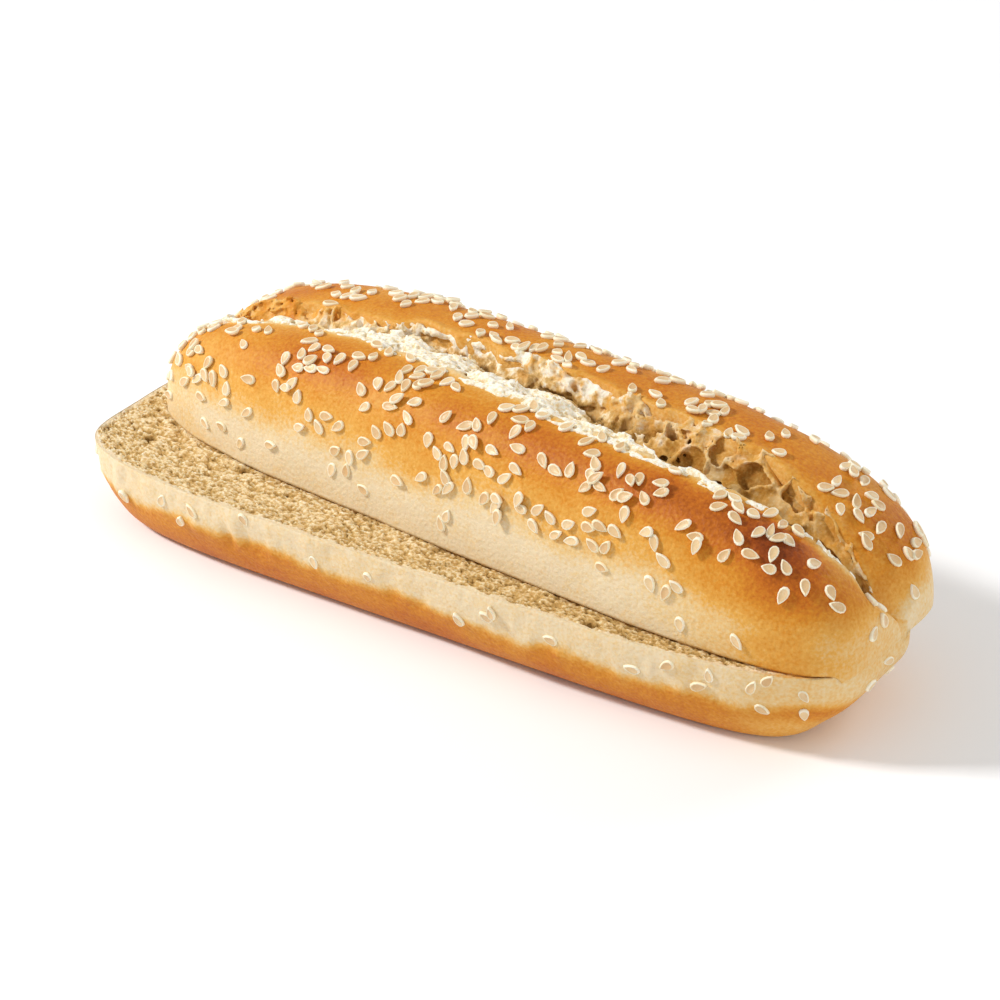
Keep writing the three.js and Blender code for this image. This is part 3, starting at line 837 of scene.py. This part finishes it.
def make_seeds(material, spots, normals, lift, draw):
    """All the seeds as one piece: each is the seed's shape at its own size, turned by its own spin about the
    crust's normal, tilted a little, with its middle at its own lift above the crust."""
    shape, faces, rim = seed_shape()
    count = len(spots)
    spin = draw.uniform(0, 2 * np.pi, count)
    helper = np.where(np.abs(normals[:, :1]) < 0.8, [[1.0, 0, 0]], [[0, 1.0, 0]])
    first = np.cross(normals, helper)
    first /= np.linalg.norm(first, axis=1, keepdims=True)
    second = np.cross(normals, first)
    pointing = np.cos(spin)[:, None] * first + np.sin(spin)[:, None] * second
    tilt = draw.normal(0, 0.10, count)[:, None]
    pointing = np.cos(tilt) * pointing + np.sin(tilt) * normals
    sideways = np.cross(normals, pointing)
    sideways /= np.linalg.norm(sideways, axis=1, keepdims=True)
    upward = np.cross(pointing, sideways)
    size = draw.normal(1.0, 0.07, (count, 3))
    local = shape[None] * size[:, None, :]
    places = (local[..., :1] * pointing[:, None] + local[..., 1:2] * sideways[:, None]
              + local[..., 2:] * upward[:, None])
    places += (spots + normals * lift[:, None])[:, None]
    starts = np.arange(count)[:, None, None] * len(shape)
    all_faces = [(kind + starts).reshape(-1, kind.shape[1]) for kind in faces]
    seeds = make_object("sesame_seeds", places.reshape(-1, 3), all_faces, material)
    give(seeds, "rim", np.tile(rim, count))
    give(seeds, "tone", np.repeat(draw.random(count), len(shape)))
    return seeds


# ---- Materials, sizes in metres ----

def linear(red, green, blue):
    """A screen colour from 0 to 255 as the linear colour, with alpha 1, that a shader takes."""
    screen = np.array([red, green, blue]) / 255
    value = np.where(screen <= 0.04045, screen / 12.92, ((screen + 0.055) / 1.055) ** 2.4)
    return (*value.tolist(), 1.0)


class Nodes:
    """Adds nodes to one tree. Every input may be a value or another node's socket."""

    def __init__(self, tree):
        self.tree = tree

    def add(self, kind, inputs=(), **settings):
        """A new node with its settings, and with its inputs set or linked."""
        node = self.tree.nodes.new(kind)
        for key, value in settings.items():
            setattr(node, key, value)
        for key, value in dict(inputs).items():
            if isinstance(value, bpy.types.NodeSocket):
                self.tree.links.new(value, node.inputs[key])
            else:
                node.inputs[key].default_value = value
        return node

    def math(self, operation, a, b):
        """The result of one sum of two numbers."""
        node = self.add("ShaderNodeMath", {0: a, 1: b}, operation=operation)
        return node.outputs[0]

    def mix_colour(self, share, a, b):
        """Colour a where share is 0, and b where it is 1."""
        node = self.add("ShaderNodeMix", {0: share, 6: a, 7: b}, data_type="RGBA")
        return node.outputs[2]

    def mix_value(self, share, a, b):
        """Number a where share is 0, and b where it is 1."""
        node = self.add("ShaderNodeMix", {0: share, 2: a, 3: b}, data_type="FLOAT")
        return node.outputs[0]

    def ramp(self, value, stops):
        """The colour at a value, between stops of (value, colour)."""
        node = self.add("ShaderNodeValToRGB", {0: value})
        elements = node.color_ramp.elements
        while len(elements) < len(stops):
            elements.new(0.5)
        for element, (position, colour) in zip(elements, stops):
            element.position = position
            element.color = colour
        return node.outputs[0]

    def attribute(self, name):
        """The number that give stored on a piece under this name."""
        return self.add("ShaderNodeAttribute", attribute_name=name).outputs["Fac"]

    def grain(self, place, size, detail):
        """Noise whose features are about size metres across."""
        node = self.add("ShaderNodeTexNoise", {"Vector": place, "Scale": 1 / size, "Detail": detail})
        return node.outputs[0]


def new_material(name):
    """A material that is one Principled shader, with its node helper and that shader."""
    material = bpy.data.materials.new(name)
    material.use_nodes = True
    tree = material.node_tree
    tree.nodes.clear()
    nodes = Nodes(tree)
    shader = nodes.add("ShaderNodeBsdfPrincipled")
    nodes.add("ShaderNodeOutputMaterial", {"Surface": shader.outputs[0]})
    return material, nodes, shader


def mottle_group():
    """Shared effect: two sizes of noise as one value round 0, and a height for bump."""
    tree = bpy.data.node_groups.new("mottle", "ShaderNodeTree")
    tree.interface.new_socket("Position", in_out="INPUT", socket_type="NodeSocketVector")
    tree.interface.new_socket("Size", in_out="INPUT", socket_type="NodeSocketFloat")
    tree.interface.new_socket("Shade", in_out="OUTPUT", socket_type="NodeSocketFloat")
    tree.interface.new_socket("Height", in_out="OUTPUT", socket_type="NodeSocketFloat")
    nodes = Nodes(tree)
    entry = nodes.add("NodeGroupInput")
    place, size = entry.outputs["Position"], entry.outputs["Size"]
    coarse = nodes.add("ShaderNodeTexNoise", {
        "Vector": place, "Scale": nodes.math("DIVIDE", 1.0, size), "Detail": 2.0})
    fine = nodes.add("ShaderNodeTexNoise", {
        "Vector": place, "Scale": nodes.math("DIVIDE", 4.0, size), "Detail": 3.0})
    both = nodes.math("ADD", nodes.math("MULTIPLY", coarse.outputs[0], 0.5),
                      nodes.math("MULTIPLY", fine.outputs[0], 0.5))
    leave = nodes.add("NodeGroupOutput")
    tree.links.new(nodes.math("SUBTRACT", both, 0.5), leave.inputs["Shade"])
    tree.links.new(both, leave.inputs["Height"])
    return tree


def bread_material(mottle):
    """Crust and crumb in one: the crust's colour climbs a baking ramp by its bake, mottling and speckle, the
    crumb's sinks from white into olive tan by its painted shade in pores, folds and depths and by its own
    tone, and the crumb share picks between them."""
    material, nodes, shader = new_material("bread")
    place = nodes.add("ShaderNodeTexCoord").outputs["Object"]
    effect = nodes.add("ShaderNodeGroup", node_tree=mottle)
    nodes.tree.links.new(place, effect.inputs["Position"])
    effect.inputs["Size"].default_value = 0.0035
    baked = nodes.math("ADD", nodes.attribute("bake"),
                       nodes.math("MULTIPLY", effect.outputs["Shade"], 0.24))
    speckle = nodes.math("SUBTRACT", nodes.grain(place, 0.0006, 3.0), 0.5)
    baked = nodes.math("ADD", baked, nodes.math("MULTIPLY", speckle, 0.34))
    crust = nodes.ramp(baked, [
        (0.00, linear(232, 212, 176)),
        (0.14, linear(230, 197, 140)),
        (0.30, linear(225, 167, 76)),
        (0.46, linear(212, 138, 37)),
        (0.62, linear(193, 106, 21)),
        (0.80, linear(152, 70, 12)),
        (1.00, linear(106, 44, 10)),
    ])
    # The crumb's painted shade in pores, folds and depths, with its own tone and speckle, darkens it along
    # this ramp.
    pore = nodes.math("ADD", nodes.attribute("shade_and_tone"), speckle)
    crumb = nodes.ramp(pore, [
        (0.0, linear(254, 248, 232)),
        (0.22, linear(241, 219, 175)),
        (0.5, linear(205, 165, 100)),
        (1.0, linear(122, 88, 34)),
    ])
    share = nodes.attribute("crumb")
    colour = nodes.mix_colour(share, crust, crumb)
    nodes.tree.links.new(colour, shader.inputs["Base Color"])
    nodes.tree.links.new(nodes.mix_value(share, 0.5, 0.85), shader.inputs["Roughness"])
    shader.inputs["Specular IOR Level"].default_value = 0.22
    grain = nodes.grain(place, 0.0007, 4.0)
    crust_height = nodes.math("ADD", nodes.math("MULTIPLY", grain, 0.7),
                              nodes.math("MULTIPLY", effect.outputs["Height"], 0.5))
    height = nodes.mix_value(share, crust_height, grain)
    relief = nodes.add("ShaderNodeBump", {"Height": height, "Strength": 0.6, "Distance": 0.0005})
    nodes.tree.links.new(relief.outputs[0], shader.inputs["Normal"])
    shader.inputs["Subsurface Weight"].default_value = 0.06
    shader.inputs["Subsurface Radius"].default_value = (1.0, 0.5, 0.25)
    shader.inputs["Subsurface Scale"].default_value = 0.002
    return material


def sesame_material(mottle):
    """Hulled sesame: an ivory rim round a slightly pinker, darker middle, each seed a little different."""
    material, nodes, shader = new_material("sesame")
    place = nodes.add("ShaderNodeTexCoord").outputs["Object"]
    effect = nodes.add("ShaderNodeGroup", node_tree=mottle)
    nodes.tree.links.new(place, effect.inputs["Position"])
    effect.inputs["Size"].default_value = 0.0012
    rim = nodes.mix_colour(nodes.attribute("tone"), linear(255, 246, 222), linear(250, 236, 200))
    middle = nodes.mix_colour(nodes.attribute("tone"), linear(234, 202, 152), linear(214, 172, 118))
    share = nodes.math("ADD", nodes.attribute("rim"), effect.outputs["Shade"])
    colour = nodes.mix_colour(share, middle, rim)
    nodes.tree.links.new(colour, shader.inputs["Base Color"])
    shader.inputs["Roughness"].default_value = 0.4
    relief = nodes.add("ShaderNodeBump", {
        "Height": effect.outputs["Height"], "Strength": 0.3, "Distance": 0.0002})
    nodes.tree.links.new(relief.outputs[0], shader.inputs["Normal"])
    shader.inputs["Subsurface Weight"].default_value = 0.1
    shader.inputs["Subsurface Radius"].default_value = (1.0, 0.6, 0.35)
    shader.inputs["Subsurface Scale"].default_value = 0.001
    return material


# ---- Studio ----

def make_camera():
    """The camera looks at the bun from its near front, 32 degrees round and 30 degrees up."""
    azimuth, elevation = np.radians(32.1), np.radians(29.9)
    distance = 0.476
    aim = Vector(((HEEL_CENTRE[0] + 4.1) * MM, HEEL_CENTRE[1] * MM, 20.2 * MM))
    back = Vector((np.sin(azimuth) * np.cos(elevation), -np.cos(azimuth) * np.cos(elevation),
                   np.sin(elevation)))
    data = bpy.data.cameras.new("camera")
    data.sensor_width = 36.0
    data.lens = 92.2
    data.clip_start = 0.01
    camera = bpy.data.objects.new("camera", data)
    camera.location = aim + back * distance
    camera.rotation_euler = back.to_track_quat("Z", "Y").to_euler()
    bpy.context.scene.collection.objects.link(camera)
    bpy.context.scene.camera = camera


def make_light(name, place, size, power):
    """A square area light at a place in metres, turned to the bun."""
    data = bpy.data.lights.new(name, "AREA")
    data.size = size
    data.energy = power
    light = bpy.data.objects.new(name, data)
    light.location = place
    light.rotation_euler = (Vector(place) - Vector((0, 0, 0.02))).to_track_quat("Z", "Y").to_euler()
    bpy.context.scene.collection.objects.link(light)


def make_studio():
    """A white floor, a white sky and three soft lights."""
    bpy.ops.mesh.primitive_plane_add(size=6)
    floor = bpy.context.object
    floor.name = "floor"
    material, _, shader = new_material("floor")
    shader.inputs["Base Color"].default_value = (1, 1, 1, 1)
    shader.inputs["Roughness"].default_value = 0.9
    floor.data.materials.append(material)
    world = bpy.data.worlds.new("studio")
    world.use_nodes = True
    background = world.node_tree.nodes["Background"]
    background.inputs["Color"].default_value = (1, 1, 1, 1)
    background.inputs["Strength"].default_value = 0.5
    bpy.context.scene.world = world
    make_light("key", (-0.62, -0.35, 0.60), 0.14, 6.5)
    make_light("rim", (0.35, 0.75, 0.5), 0.4, 2.0)
    make_light("side", (0.75, -0.15, 0.25), 0.3, 1.0)
    bpy.context.scene.view_settings.view_transform = "Standard"


# ---- The object ----

make_camera()
make_studio()
mottle = mottle_group()
bread = bread_material(mottle)
sesame = sesame_material(mottle)
draw = np.random.default_rng(5)

heel, heel_wall, heel_normal = make_heel(bread)
crown, crown_crust, crown_normal = make_crown(bread)
torn_crumb = make_torn_crumb(bread)
for piece in (heel, crown, torn_crumb):
    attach(piece, "root")
    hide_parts("bun")

on_crown = crown_seed_spots(crown_crust, crown_normal, draw)
on_heel = heel_seed_spots(heel_wall, heel_normal, draw)
spots, normals, lift = (np.concatenate(both) for both in zip(on_crown, on_heel))
seeds = make_seeds(sesame, spots, normals, lift, draw)
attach(seeds, "root")
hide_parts(*[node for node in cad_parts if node.startswith("sesame_seed")])
